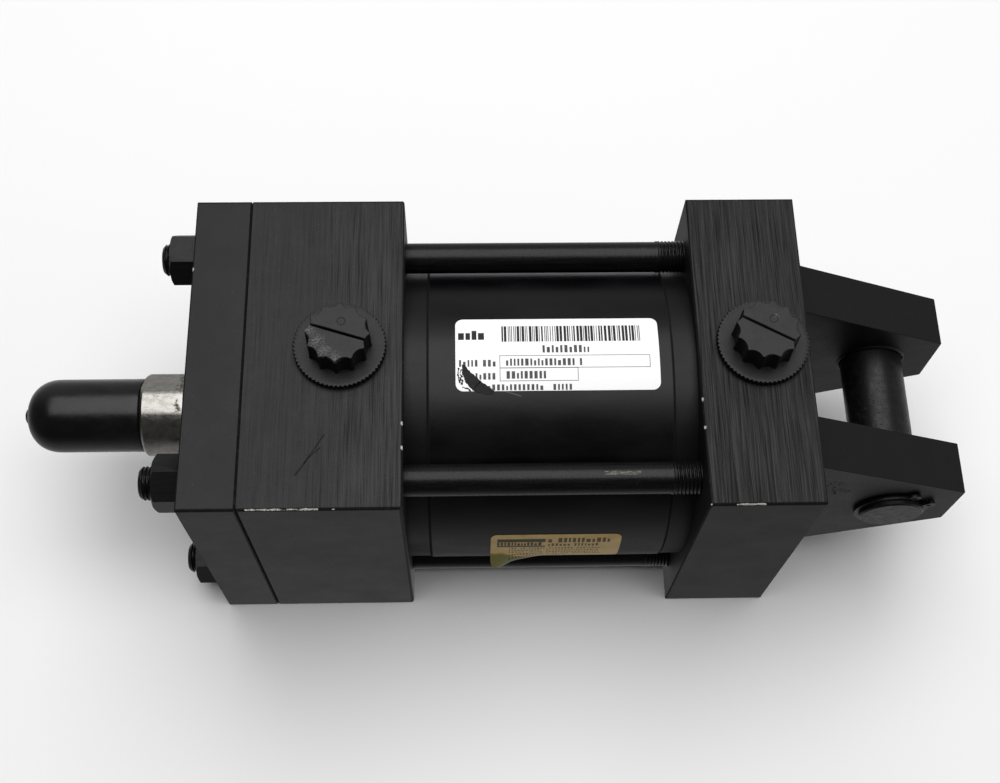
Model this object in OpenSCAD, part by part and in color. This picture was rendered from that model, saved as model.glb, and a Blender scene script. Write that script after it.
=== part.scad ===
// Tie-rod pneumatic cylinder: square heads, fixed clevis, male rod thread under a push-on cap.
// X runs along the rod, from the rod end towards the clevis; the ports face +Z.
// The origin is the centre of the clevis pin. All lengths are in millimetres.

/* [Blocks] */
// Side of the square head, cap and retainer plate
block_side = 95.25; // [94:0.25:97]
// Thickness of the retainer plate
retainer_len = 15.875; // [14:0.125:18]
// Thickness of the head
head_len = 44.45; // [44:0.05:48]
// Thickness of the cap
cap_len = 31.75; // [31:0.05:34]
// Radius of the four long corners of a block
corner_r = 1.0; // [0.5:0.1:1.5]
// Chamfer round the end faces of a block
edge_c = 0.4; // [0.2:0.1:0.6]
// Radius of the head's upright edges
head_edge_r = 1.3; // [0.5:0.1:2]

/* [Barrel] */
// Piston diameter the barrel is bored for
bore_d = 82.55; // [82.3:0.05:82.6]
// Outside diameter of the barrel
barrel_d = 88.9; // [88.6:0.1:89.1]
// How much the barrel's ends are turned down, on the radius
end_relief = 0.35; // [0.3:0.05:0.5]
// Length of each turned end that shows outside the block
end_land = 6.65; // [4:0.05:9]
// How far the rod travels
stroke = 50.8; // [20:0.1:50.8]
// Length of the piston
piston_len = 31.0; // [31:0.05:31.05]

/* [Rod] */
// Diameter of the piston rod
rod_d = 25.4; // [25:0.1:25.4]
// Distance from the retainer plate to the rod's shoulder, fully retracted
rod_standout = 20.6; // [20:0.1:24]
// Major diameter of the rod's thread
rod_thread_d = 19.05; // [18:0.05:19.05]
// Length of the rod's thread
rod_thread_len = 28.575; // [26:0.1:28.6]
// Distance across the rod's wrench flats
rod_flat_w = 22.2; // [21:0.1:23]
// Length of the wrench flats from the shoulder
rod_flat_len = 12.0; // [10:0.5:13]
// Diameter of the gland's locating pilot
pilot_d = 38.06; // [38:0.02:38.1]
// How far the pilot stands out of the retainer plate
pilot_len = 6.35; // [6:0.05:6.4]

/* [Tie rods] */
// Centre distance of the tie rods, the same both ways
tie_pitch = 70.1; // [70:0.05:70.4]
// Shank diameter of a tie rod
tie_shank_d = 9.0; // [8.8:0.1:9.1]
// Major diameter of a tie rod's thread
tie_thread_d = 9.525; // [9.4:0.025:9.525]
// Width across the flats of a tie rod nut
nut_w = 14.29; // [14:0.01:15]
// Thickness of a tie rod nut
nut_len = 8.3; // [8:0.1:9]

/* [Clevis] */
// Distance from the cap's rear face to the pin's centre
pin_offset = 31.75; // [31:0.05:33]
// Diameter of the clevis pin
pin_d = 19.0; // [18.5:0.1:19.1]
// Gap between the two ears
ear_gap = 33.2; // [31.8:0.1:34]
// Thickness of each ear
ear_w = 15.7; // [15:0.1:16.5]
// Height of an ear where it meets the cap
ear_root_h = 72.0; // [60:1:80]
// Height of an ear at its free end
ear_tip_h = 23.2; // [23:0.2:30]
// Distance from the pin's centre to the ears' free ends
ear_tip_x = 19.5; // [16:0.1:22]
// How far the pin stands out of each ear
pin_proud = 2.9; // [2.6:0.1:4]

/* [Ports] */
// Distance from a port's centre to the nearer barrel-side face of the head
head_port_back = 17.65; // [16.5:0.05:18]
// Distance from a port's centre to the barrel-side face of the cap
cap_port_back = 18.2; // [17.5:0.05:18.2]
// Diameter of a port's thread
port_d = 20.6; // [20:0.1:21]
// Diameter of a plug's toothed flange
flange_d = 26.0; // [25:0.1:27]
// Thickness of a plug's flange
flange_t = 2.2; // [1.8:0.1:2.6]
// Number of small teeth round a plug's flange
flange_teeth = 64; // [40:4:72]
// Diameter over the points of a plug's grip
grip_d = 17.8; // [16:0.1:18]
// Height of a plug above the block
plug_h = 10.0; // [8:0.1:11]
// Width of the screwdriver slot
slot_w = 0.8; // [0.6:0.1:1.6]

/* [Labels] */
// Length of the part label along the barrel
id_label_len = 57.6; // [40:0.1:60]
// Width of the part label, measured across the barrel
id_label_w = 22.2; // [15:0.1:24]
// Length of the service label along the barrel
service_label_len = 38.4; // [30:0.1:45]
// Width of the service label, measured across the barrel
service_label_w = 19.2; // [12:0.1:22]

/* [Hidden] */
$fn = 96;

half_side = block_side / 2;
cut = 1;         // how far a cutting shape runs past the face that it opens
fit = 0.05;      // radial gap of a running fit
snug = 0.02;     // radial gap of a seal or fastener in its seat
end_play = 0.05; // gap at each end of a seal or ring in its groove
piston_clear = 0.35; // gap between the piston and a block at either end of its travel

// Stations along X, from the clevis to the rod end
cap_rear_x = -pin_offset;
cap_front_x = cap_rear_x - cap_len;
barrel_len = stroke + piston_len + 2 * piston_clear + end_play;
head_rear_x = cap_front_x - barrel_len;
seam_x = head_rear_x - head_len;
retainer_x = seam_x - retainer_len;
shoulder_x = retainer_x - rod_standout;
thread_end_x = shoulder_x - rod_thread_len;
head_port_x = head_rear_x - head_port_back;
cap_port_x = cap_front_x + cap_port_back;

// Barrel ends sit in ring grooves, on flat seals
bore_r = bore_d / 2;
barrel_r = barrel_d / 2;
barrel_end_r = barrel_r - end_relief;
spigot = 3.0;
tube_seal_t = 1.5;
groove_depth = spigot + tube_seal_t + 0.1;
groove_in_r = bore_r - 0.1;
groove_out_r = barrel_end_r + 0.1;

// Chambers behind the ports, and the drillings that reach them
chamber_r = 19.0;
head_chamber_len = 19.0;
cap_chamber_len = 16.5;
port_depth = 19.5;
passage_r = 4.5;
head_passage_x = head_rear_x - 12.0;
cap_passage_x = cap_front_x + 13.5;

// Rod gland: flange clamped by the retainer, body in the head, nose through the retainer
rod_r = rod_d / 2;
gland_flange_r = 25.4;
gland_flange_len = 6.35;
gland_body_r = 22.2;
gland_body_end_x = seam_x + 20.5;
pilot_r = pilot_d / 2;
gland_neck_r = pilot_r - 0.6;
pilot_relief = 0.25;
pilot_tip_x = retainer_x - pilot_len;
wiper_seat_len = 4.2;
wiper_seat_r = 16.6;
wiper_lip_len = 0.9;
rod_seal_x = seam_x - 8.0;
rod_seal_len = 6.0;
rod_seal_r = 16.8;
oring_r = 1.25;
gland_oring_x = seam_x + 12.5;
oring_groove_r = gland_body_r - 2 * oring_r;
oring_groove_len = 3.0;
rod_bore_r = rod_r + 1.5;

// Piston and its fastening
piston_rear_x = cap_front_x - piston_clear;
piston_front_x = piston_rear_x - piston_len;
piston_r = bore_r - 0.325;
seal_groove_r = 34.5;
seal_len = 6.0;
seal_end_land = 3.0;
front_seal_x = piston_front_x + seal_end_land;
rear_seal_x = piston_rear_x - seal_end_land - seal_len;
band_groove_r = 38.6;
band_x = piston_front_x + 12.5;
band_len = 6.0;
rod_oring_r = 0.95;
rod_oring_seat = 2.0;
stud_r = 9.0;
stud_proud = 1.0;
piston_nut_len = 11.3;
piston_nut_w = 28.6;

// Tie rods
tie_at = tie_pitch / 2;
tie_hole_r = 4.95;
tie_tap_r = tie_thread_d / 2 + fit;
tie_end_x = cap_front_x + 20.5;
tie_tap_end_x = cap_front_x + 22.0;
tie_visible_thread = 8.0;
tie_seat_thread = 5.0;

// Clevis
ear_in = ear_gap / 2;
ear_out = ear_in + ear_w;
pin_r = pin_d / 2;
pin_end = ear_out + pin_proud;
ring_t = 1.1;
ring_groove_r = pin_r - 0.6;
ring_r = 11.0;
ring_gap = 0.3;
ring_mid = ear_out + ring_gap + ring_t / 2;

// Plugs
grip_points = 12;
grip_scallop_r = 3.0;
scallop_depth = 0.95;
plug_stub_len = 13.0;
head_slot_angle = -18;
cap_slot_angle = -29;

// Vinyl cap over the rod thread
thread_cap_r = 11.3;
thread_cap_bore_r = rod_thread_d / 2 + fit;
thread_cap_dome_len = 10.4;
thread_cap_power = 2.3; // 2 is an ellipse, more is blunter
thread_cap_x = shoulder_x - 0.15;
thread_cap_end_x = shoulder_x - 35.9;
nib_r = 2.3;
nib_len = 1.0;

// Labels
label_t = 0.18;
label_gap = 0.01;
id_label_corner = 2.2;
service_label_corner = 0.8;
id_label_x = -102.75;
id_label_y = -0.6;
service_label_x = -102.5;
service_label_z = 0.7;

block_black = [0.075, 0.077, 0.08];
barrel_black = [0.05, 0.05, 0.055];
fastener_black = [0.09, 0.09, 0.095];
steel = [0.74, 0.74, 0.72];
bronze = [0.66, 0.46, 0.22];
rubber = [0.03, 0.03, 0.03];
band_brown = [0.32, 0.2, 0.1];
plug_plastic = [0.08, 0.08, 0.085];
label_white = [0.88, 0.89, 0.9];
label_gold = [0.72, 0.56, 0.3];

// --- Shared shapes ---

// Puts a shape built along Z onto the X axis, starting at x
module along_x(x) {
    translate([x, 0, 0])
        rotate([0, 90, 0])
            children();
}

// Round bar on the X axis from x0 to x1
module bar(x0, x1, r) {
    along_x(x0)
        cylinder(h = x1 - x0, r = r);
}

// Ring on the X axis from x0 to x1
module ring(x0, x1, r_in, r_out) {
    difference() {
        bar(x0, x1, r_out);
        bar(x0 - cut, x1 + cut, r_in);
    }
}

// Bar with a chamfer at its low-x end
module chamfered_bar(x0, x1, r, c) {
    bar(x0 + c, x1, r);
    along_x(x0)
        cylinder(h = c, r1 = r - c, r2 = r);
}

// Rectangle with round corners, centred
module round_rectangle(len, width, r) {
    square([len - 2 * r, width], center = true);
    square([len, width - 2 * r], center = true);
    for (sx = [-1, 1], sy = [-1, 1])
        translate([sx * (len / 2 - r), sy * (width / 2 - r)])
            circle(r = r);
}

// Rectangle from 0 to len with its four corners cut off
module chamfered_side(len, half, c) {
    polygon([
        [c, -half], [len - c, -half], [len, c - half], [len, half - c],
        [len - c, half], [c, half], [0, half - c], [0, c - half]
    ]);
}

// Square block from x0 to x1 with rounded long corners and chamfered ends. Its upright edges
// are chamfered too, or rounded if a radius is given.
module block(x0, x1, upright_r = 0) {
    len = x1 - x0;
    intersection() {
        along_x(x0)
            linear_extrude(len)
                round_rectangle(block_side, block_side, corner_r);
        translate([x0, half_side, 0])
            rotate([90, 0, 0])
                linear_extrude(block_side)
                    chamfered_side(len, half_side, edge_c);
        translate([x0, 0, -half_side])
            linear_extrude(block_side)
                if (upright_r > 0)
                    translate([len / 2, 0])
                        round_rectangle(len, block_side, upright_r);
                else
                    chamfered_side(len, half_side, edge_c);
    }
}

// Repeats a shape at the four tie rod positions
module at_tie_rods() {
    for (sy = [-1, 1], sz = [-1, 1])
        translate([0, sy * tie_at, sz * tie_at])
            children();
}

// Hexagonal nut from x0 to x1, its corners chamfered at the low-x face
module hex_nut(x0, x1, across, hole_r, turn) {
    corner = across / 2 / cos(30);
    bevel = 1.1;
    bevel_r = corner + 0.6;
    difference() {
        intersection() {
            along_x(x0)
                rotate([0, 0, turn])
                    cylinder(h = x1 - x0, r = corner, $fn = 6);
            union() {
                along_x(x0)
                    cylinder(h = bevel, r1 = across / 2, r2 = bevel_r);
                bar(x0 + bevel, x1, bevel_r);
            }
        }
        bar(x0 - cut, x1 + cut, hole_r);
    }
}

// --- Head, cap, retainer plate and barrel ---

// Threaded port and the drilling that joins it to the chamber
module port_cut(port_x, passage_x) {
    translate([port_x, 0, half_side - port_depth])
        cylinder(h = port_depth + cut, r = port_d / 2);
    translate([passage_x, 0, 0])
        cylinder(h = half_side - port_depth + cut, r = passage_r);
}

// Ring groove that a barrel end and its seal sit in
module barrel_groove(x0, x1) {
    ring(x0, x1, groove_in_r, groove_out_r);
}

module retainer_plate() {
    color(block_black)
        difference() {
            block(retainer_x, seam_x);
            bar(retainer_x - cut, seam_x + cut, pilot_r + fit);
            at_tie_rods()
                bar(retainer_x - cut, seam_x + cut, tie_hole_r);
        }
}

module head() {
    color(block_black)
        difference() {
            block(seam_x, head_rear_x, head_edge_r);
            bar(seam_x - cut, seam_x + gland_flange_len, gland_flange_r + fit);
            bar(seam_x - cut, gland_body_end_x + cut, gland_body_r + fit);
            bar(gland_body_end_x, head_rear_x, rod_bore_r);
            bar(head_rear_x - head_chamber_len, head_rear_x + cut, chamber_r);
            barrel_groove(head_rear_x - groove_depth, head_rear_x + cut);
            port_cut(head_port_x, head_passage_x);
            at_tie_rods()
                bar(seam_x - cut, head_rear_x + cut, tie_hole_r);
        }
}

module barrel() {
    x0 = head_rear_x - spigot;
    x1 = cap_front_x + spigot;
    step0 = head_rear_x + end_land;
    step1 = cap_front_x - end_land;
    color(barrel_black)
        difference() {
            union() {
                bar(x0, x1, barrel_end_r);
                bar(step0, step1, barrel_r);
            }
            bar(x0 - cut, x1 + cut, bore_r);
        }
}

module cap() {
    color(block_black)
        difference() {
            block(cap_front_x, cap_rear_x);
            bar(cap_front_x - cut, cap_front_x + cap_chamber_len, chamber_r);
            barrel_groove(cap_front_x - cut, cap_front_x + groove_depth);
            port_cut(cap_port_x, cap_passage_x);
            at_tie_rods()
                bar(cap_front_x - cut, tie_tap_end_x, tie_tap_r);
        }
}

module tube_seal_head() {
    x1 = head_rear_x - spigot - snug;
    color(rubber)
        ring(x1 - tube_seal_t, x1, bore_r, barrel_end_r);
}

module tube_seal_cap() {
    x0 = cap_front_x + spigot + snug;
    color(rubber)
        ring(x0, x0 + tube_seal_t, bore_r, barrel_end_r);
}

// --- Clevis ---

// Ear between two stations along Y, with the bore for the pin
module clevis_ear(y0, y1) {
    color(block_black)
        difference() {
            translate([0, y1, 0])
                rotate([90, 0, 0])
                    linear_extrude(y1 - y0)
                        polygon([
                            [cap_rear_x, -ear_root_h / 2],
                            [ear_tip_x, -ear_tip_h / 2],
                            [ear_tip_x, ear_tip_h / 2],
                            [cap_rear_x, ear_root_h / 2]
                        ]);
            translate([0, y1 + cut, 0])
                rotate([90, 0, 0])
                    cylinder(h = y1 - y0 + 2 * cut, r = pin_r + fit);
        }
}

module clevis_ear_front() {
    clevis_ear(-ear_out, -ear_in);
}

module clevis_ear_back() {
    clevis_ear(ear_in, ear_out);
}

// Half of the pin's outline, from its middle to one end, with the groove for a ring
module pin_profile() {
    c = 0.5;
    groove_out = -ring_mid - ring_t / 2 - end_play;
    groove_in = -ring_mid + ring_t / 2 + end_play;
    polygon([
        [0, -pin_end], [pin_r - c, -pin_end], [pin_r, c - pin_end],
        [pin_r, groove_out], [ring_groove_r, groove_out],
        [ring_groove_r, groove_in], [pin_r, groove_in],
        [pin_r, 0], [0, 0]
    ]);
}

module clevis_pin() {
    color(fastener_black)
        rotate([-90, 0, 0])
            union() {
                rotate_extrude()
                    pin_profile();
                mirror([0, 0, 1])
                    rotate_extrude()
                        pin_profile();
            }
}

// Open retaining ring with two lugs, its gap turned by the given angle about Y
module pin_ring(y, gap_turn) {
    lug_r = 2.0;
    lug_hole_r = 0.6;
    gap = 6.0;
    lug_at = [ring_r - 0.6, gap / 2 + 1.2];
    color(fastener_black)
        translate([0, y, 0])
            rotate([90, 0, 0])
                rotate([0, 0, gap_turn])
                    translate([0, 0, -ring_t / 2])
                        difference() {
                            union() {
                                cylinder(h = ring_t, r = ring_r);
                                for (side = [-1, 1])
                                    translate([lug_at[0], side * lug_at[1], 0])
                                        cylinder(h = ring_t, r = lug_r);
                            }
                            translate([0, 0, -cut])
                                cylinder(h = ring_t + 2 * cut, r = ring_groove_r + snug);
                            translate([0, -gap / 2, -cut])
                                cube([2 * ring_r, gap, ring_t + 2 * cut]);
                            for (side = [-1, 1])
                                translate([lug_at[0], side * lug_at[1], -cut])
                                    cylinder(h = ring_t + 2 * cut, r = lug_hole_r);
                        }
}

module pin_ring_front() {
    pin_ring(-ring_mid, 45);
}

module pin_ring_back() {
    pin_ring(ring_mid, 110);
}

// --- Tie rods and nuts ---

// Tie rod at one corner; proud is how far it stands out of its nut
module tie_rod(sy, sz, proud) {
    end_x = retainer_x - nut_len - proud;
    thread_r = tie_thread_d / 2;
    tip_c = 0.9;
    color(fastener_black)
        translate([0, sy * tie_at, sz * tie_at]) {
            chamfered_bar(end_x, retainer_x + tie_seat_thread, thread_r, tip_c);
            bar(retainer_x + tie_seat_thread, cap_front_x - tie_visible_thread, tie_shank_d / 2);
            bar(cap_front_x - tie_visible_thread, tie_end_x, thread_r);
        }
}

module tie_nut(sy, sz, turn) {
    color(fastener_black)
        translate([0, sy * tie_at, sz * tie_at])
            hex_nut(retainer_x - nut_len, retainer_x, nut_w, tie_thread_d / 2 + fit, turn);
}

module tie_rod_upper_back() {
    tie_rod(1, 1, 2.7);
}

module tie_rod_upper_front() {
    tie_rod(-1, 1, 4.0);
}

module tie_rod_lower_front() {
    tie_rod(-1, -1, 3.0);
}

module tie_rod_lower_back() {
    tie_rod(1, -1, 3.4);
}

module tie_nut_upper_back() {
    tie_nut(1, 1, 32);
}

module tie_nut_upper_front() {
    tie_nut(-1, 1, 58);
}

module tie_nut_lower_front() {
    tie_nut(-1, -1, 38);
}

module tie_nut_lower_back() {
    tie_nut(1, -1, 46);
}

// --- Rod gland and its seals ---

module rod_gland() {
    pilot_c = 0.8;
    color(bronze)
        difference() {
            union() {
                bar(seam_x, seam_x + gland_flange_len, gland_flange_r);
                bar(seam_x, gland_body_end_x, gland_body_r);
                bar(retainer_x - pilot_relief, seam_x, gland_neck_r);
                chamfered_bar(pilot_tip_x, retainer_x - pilot_relief, pilot_r, pilot_c);
            }
            bar(pilot_tip_x - cut, gland_body_end_x + cut, rod_r + fit);
            bar(pilot_tip_x - cut, pilot_tip_x + wiper_seat_len, wiper_seat_r);
            bar(rod_seal_x, rod_seal_x + rod_seal_len, rod_seal_r);
            ring(gland_oring_x - oring_groove_len / 2, gland_oring_x + oring_groove_len / 2,
                oring_groove_r, gland_body_r + cut);
        }
}

// Scraper with a lip that leans out along the rod
module rod_wiper() {
    outer = wiper_seat_r - snug;
    lip = rod_r + fit;
    color(rubber)
        along_x(pilot_tip_x - wiper_lip_len)
            rotate_extrude()
                polygon([
                    [lip, 0], [lip + 0.7, 0], [lip + 2.1, 2.6],
                    [outer, 2.6], [outer, 5.0], [lip + 0.5, 5.0], [lip + 0.3, 1.6]
                ]);
}

// Lip seal with a groove facing the pressure side
module lip_seal(x0, len, r_in, r_out) {
    mid = (r_in + r_out) / 2;
    notch = 0.28 * (r_out - r_in);
    color(rubber)
        along_x(x0)
            rotate_extrude()
                polygon([
                    [r_in, 0], [r_out, 0], [r_out, len], [mid + notch, len],
                    [mid, 0.5 * len], [mid - notch, len], [r_in, len]
                ]);
}

module rod_seal() {
    lip_seal(rod_seal_x + end_play, rod_seal_len - 2 * end_play, rod_r + fit, rod_seal_r - snug);
}

module gland_oring() {
    color(rubber)
        along_x(gland_oring_x)
            rotate_extrude()
                translate([gland_body_r - oring_r + snug, 0])
                    circle(r = oring_r - snug);
}

// --- Piston and rod ---

module piston() {
    color(steel)
        difference() {
            bar(piston_front_x, piston_rear_x, piston_r);
            bar(piston_front_x - cut, piston_rear_x + cut, stud_r + snug);
            ring(front_seal_x, front_seal_x + seal_len, seal_groove_r, bore_r);
            ring(rear_seal_x, rear_seal_x + seal_len, seal_groove_r, bore_r);
            ring(band_x, band_x + band_len, band_groove_r, bore_r);
            ring(piston_front_x - cut, piston_front_x + rod_oring_seat, stud_r - cut, stud_r + rod_oring_seat);
        }
}

module piston_oring() {
    color(rubber)
        along_x(piston_front_x + rod_oring_seat / 2)
            rotate_extrude()
                translate([stud_r + rod_oring_seat / 2, 0])
                    circle(r = rod_oring_r);
}

// Piston lip seal that fills its groove apart from the end play, its lip towards +X
module piston_seal(groove_x) {
    lip_seal(groove_x + end_play, seal_len - 2 * end_play, seal_groove_r + snug, bore_r - fit);
}

module piston_seal_front() {
    translate([2 * front_seal_x + seal_len, 0, 0])
        mirror([1, 0, 0])
            piston_seal(front_seal_x);
}

module piston_seal_rear() {
    piston_seal(rear_seal_x);
}

module piston_wear_band() {
    color(band_brown)
        ring(band_x + end_play, band_x + band_len - end_play, band_groove_r + snug, bore_r - fit);
}

module piston_rod() {
    thread_r = rod_thread_d / 2;
    flat_turn = 49;
    relief_len = 2.5;
    relief_depth = 1.0;
    shoulder_c = 1.0;
    tip_c = 1.2;
    color(steel)
        difference() {
            union() {
                chamfered_bar(thread_end_x, shoulder_x - relief_len, thread_r, tip_c);
                bar(shoulder_x - relief_len, shoulder_x, thread_r - relief_depth);
                chamfered_bar(shoulder_x, piston_front_x, rod_r, shoulder_c);
                bar(piston_front_x, piston_rear_x + piston_nut_len + stud_proud, stud_r);
            }
            for (side = [0, 180])
                rotate([flat_turn + side, 0, 0])
                    translate([shoulder_x - cut, rod_flat_w / 2, -rod_d])
                        cube([rod_flat_len + cut, rod_d, 2 * rod_d]);
        }
}

module piston_nut() {
    nut_turn = 12;
    color(steel)
        mirror([1, 0, 0])
            hex_nut(-piston_rear_x - piston_nut_len, -piston_rear_x, piston_nut_w, stud_r + snug, nut_turn);
}

// Outline of the cap's blunt domed end, from its tip to its straight wall
function dome_outline() = [
    for (turn = [0 : 6 : 90])
        [thread_cap_r * pow(sin(turn), 2 / thread_cap_power),
         thread_cap_dome_len * (1 - pow(cos(turn), 2 / thread_cap_power))]
];

// Push-on cap: straight wall, domed end with a moulding nib
module rod_thread_cap() {
    dome_x = thread_cap_end_x + thread_cap_dome_len;
    bore_end_x = thread_end_x - 0.6;
    bore_tip_len = 3.0;
    bore_tip_r = 4.5;
    nib_root = 0.5;
    color(rubber)
        difference() {
            union() {
                bar(dome_x, thread_cap_x, thread_cap_r);
                along_x(thread_cap_end_x)
                    rotate_extrude()
                        polygon(concat([[0, thread_cap_dome_len]], dome_outline()));
                bar(thread_cap_end_x - nib_len, thread_cap_end_x + nib_root, nib_r);
            }
            bar(bore_end_x, thread_cap_x + cut, thread_cap_bore_r);
            along_x(bore_end_x - bore_tip_len)
                cylinder(h = bore_tip_len, r1 = bore_tip_r, r2 = thread_cap_bore_r);
        }
}

// --- Port plugs ---

// Plug with a threaded stub, a toothed flange and a scalloped grip with a slot
module port_plug(port_x, slot_angle) {
    grip_h = plug_h - flange_t;
    scallop_at = grip_d / 2 - scallop_depth + grip_scallop_r;
    tooth_at = flange_d / 2 + 0.1;
    tooth_r = 0.42;
    slot_floor = flange_t + 2;
    color(plug_plastic)
        translate([port_x, 0, half_side + fit])
            rotate([0, 0, slot_angle]) {
                translate([0, 0, -plug_stub_len])
                    cylinder(h = plug_stub_len, r = port_d / 2 - fit);
                difference() {
                    cylinder(h = flange_t, r = flange_d / 2);
                    for (i = [0 : flange_teeth - 1])
                        rotate([0, 0, i * 360 / flange_teeth])
                            translate([tooth_at, 0, -cut])
                                cylinder(h = flange_t + 2 * cut, r = tooth_r, $fn = 24);
                }
                difference() {
                    cylinder(h = plug_h, r = grip_d / 2);
                    for (i = [0 : grip_points - 1])
                        rotate([0, 0, i * 360 / grip_points])
                            translate([scallop_at, 0, flange_t])
                                cylinder(h = grip_h + cut, r = grip_scallop_r);
                    translate([-grip_d, -slot_w / 2, slot_floor])
                        cube([2 * grip_d, slot_w, grip_h]);
                }
            }
}

module head_port_plug() {
    port_plug(head_port_x, head_slot_angle);
}

module cap_port_plug() {
    port_plug(cap_port_x, cap_slot_angle);
}

// --- Labels ---

// Thin skin on the barrel, cut to the outline that the child extrusion gives
module barrel_skin(x, len) {
    intersection() {
        ring(x - len, x + len, barrel_r + label_gap, barrel_r + label_t);
        children();
    }
}

module id_label() {
    color(label_white)
        barrel_skin(id_label_x, id_label_len)
            translate([id_label_x, id_label_y, 0])
                linear_extrude(block_side)
                    round_rectangle(id_label_len, id_label_w, id_label_corner);
}

module service_label() {
    color(label_gold)
        barrel_skin(service_label_x, service_label_len)
            translate([service_label_x, 0, service_label_z])
                rotate([90, 0, 0])
                    linear_extrude(block_side)
                        round_rectangle(service_label_len, service_label_w, service_label_corner);
}

retainer_plate();
head();
barrel();
cap();
clevis_ear_front();
clevis_ear_back();
clevis_pin();
pin_ring_front();
pin_ring_back();
tie_rod_upper_back();
tie_rod_upper_front();
tie_rod_lower_front();
tie_rod_lower_back();
tie_nut_upper_back();
tie_nut_upper_front();
tie_nut_lower_front();
tie_nut_lower_back();
rod_gland();
rod_wiper();
rod_seal();
gland_oring();
tube_seal_head();
tube_seal_cap();
piston();
piston_oring();
piston_seal_front();
piston_seal_rear();
piston_wear_band();
piston_rod();
piston_nut();
rod_thread_cap();
head_port_plug();
cap_port_plug();
id_label();
service_label();
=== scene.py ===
"""Looks of the tie-rod pneumatic cylinder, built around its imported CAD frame.

Lengths are in metres in the row frame: +X from the rod end to the clevis, +Z out of the ports,
with the origin at the centre of the clevis pin. Angles round the barrel start at +Y, towards +Z.
"""
import math
import random

import bmesh
import bpy
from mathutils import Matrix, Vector


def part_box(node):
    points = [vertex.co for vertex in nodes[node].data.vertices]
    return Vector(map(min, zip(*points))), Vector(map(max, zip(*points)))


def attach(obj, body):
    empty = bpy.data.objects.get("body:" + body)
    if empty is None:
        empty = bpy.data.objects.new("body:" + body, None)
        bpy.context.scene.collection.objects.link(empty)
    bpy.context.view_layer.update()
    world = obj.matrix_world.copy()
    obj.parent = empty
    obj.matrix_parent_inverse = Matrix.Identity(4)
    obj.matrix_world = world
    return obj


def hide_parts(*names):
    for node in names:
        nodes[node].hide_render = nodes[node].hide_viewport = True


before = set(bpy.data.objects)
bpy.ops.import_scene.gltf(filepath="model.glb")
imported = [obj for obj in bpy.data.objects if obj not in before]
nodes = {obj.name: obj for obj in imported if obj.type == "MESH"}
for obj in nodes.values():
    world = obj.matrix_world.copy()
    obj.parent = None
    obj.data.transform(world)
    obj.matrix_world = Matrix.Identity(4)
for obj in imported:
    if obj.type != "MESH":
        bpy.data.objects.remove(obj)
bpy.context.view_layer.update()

MM = 0.001
TAU = math.tau
X, Y, Z = 0, 1, 2

# Stations and radii, from the frame
plate_x = [corner.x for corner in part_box("retainer_plate")]
head_x = [corner.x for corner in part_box("head")]
cap_x = [corner.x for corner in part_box("cap")]
half_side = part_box("head")[1].y
barrel_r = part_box("barrel")[1].z
floor_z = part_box("head")[0].z


# --- Materials ---

class Graph:
    """Short calls that add nodes to a node tree."""

    def __init__(self, tree):
        self.tree = tree

    def add(self, kind, values, **settings):
        """A node of that kind; values are for its inputs, either numbers or other nodes' sockets."""
        node = self.tree.nodes.new("ShaderNode" + kind)
        for name, value in settings.items():
            setattr(node, name, value)
        for key, value in values.items():
            if isinstance(value, bpy.types.NodeSocket):
                self.tree.links.new(value, node.inputs[key])
            else:
                node.inputs[key].default_value = value
        return node

    def math(self, operation, a, b=0.0):
        return self.add("Math", {0: a, 1: b}, operation=operation).outputs[0]

    def plus(self, a, b):
        return self.math("ADD", a, b)

    def minus(self, a, b):
        return self.math("SUBTRACT", a, b)

    def inverse(self, value):
        return self.math("SUBTRACT", 1.0, value)

    def larger(self, a, b):
        return self.math("MAXIMUM", a, b)

    def unsigned(self, value):
        return self.math("ABSOLUTE", value)

    def step(self, value, low, high, to_low=0.0, to_high=1.0):
        """Smooth step of value from low to high, given as to_low to to_high."""
        made = self.add("MapRange", {
            "Value": value, "From Min": low, "From Max": high, "To Min": to_low, "To Max": to_high,
        }, interpolation_type="SMOOTHSTEP", clamp=True)
        return made.outputs[0]

    def product(self, *factors):
        total = factors[0]
        for factor in factors[1:]:
            total = self.math("MULTIPLY", total, factor)
        return total


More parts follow.
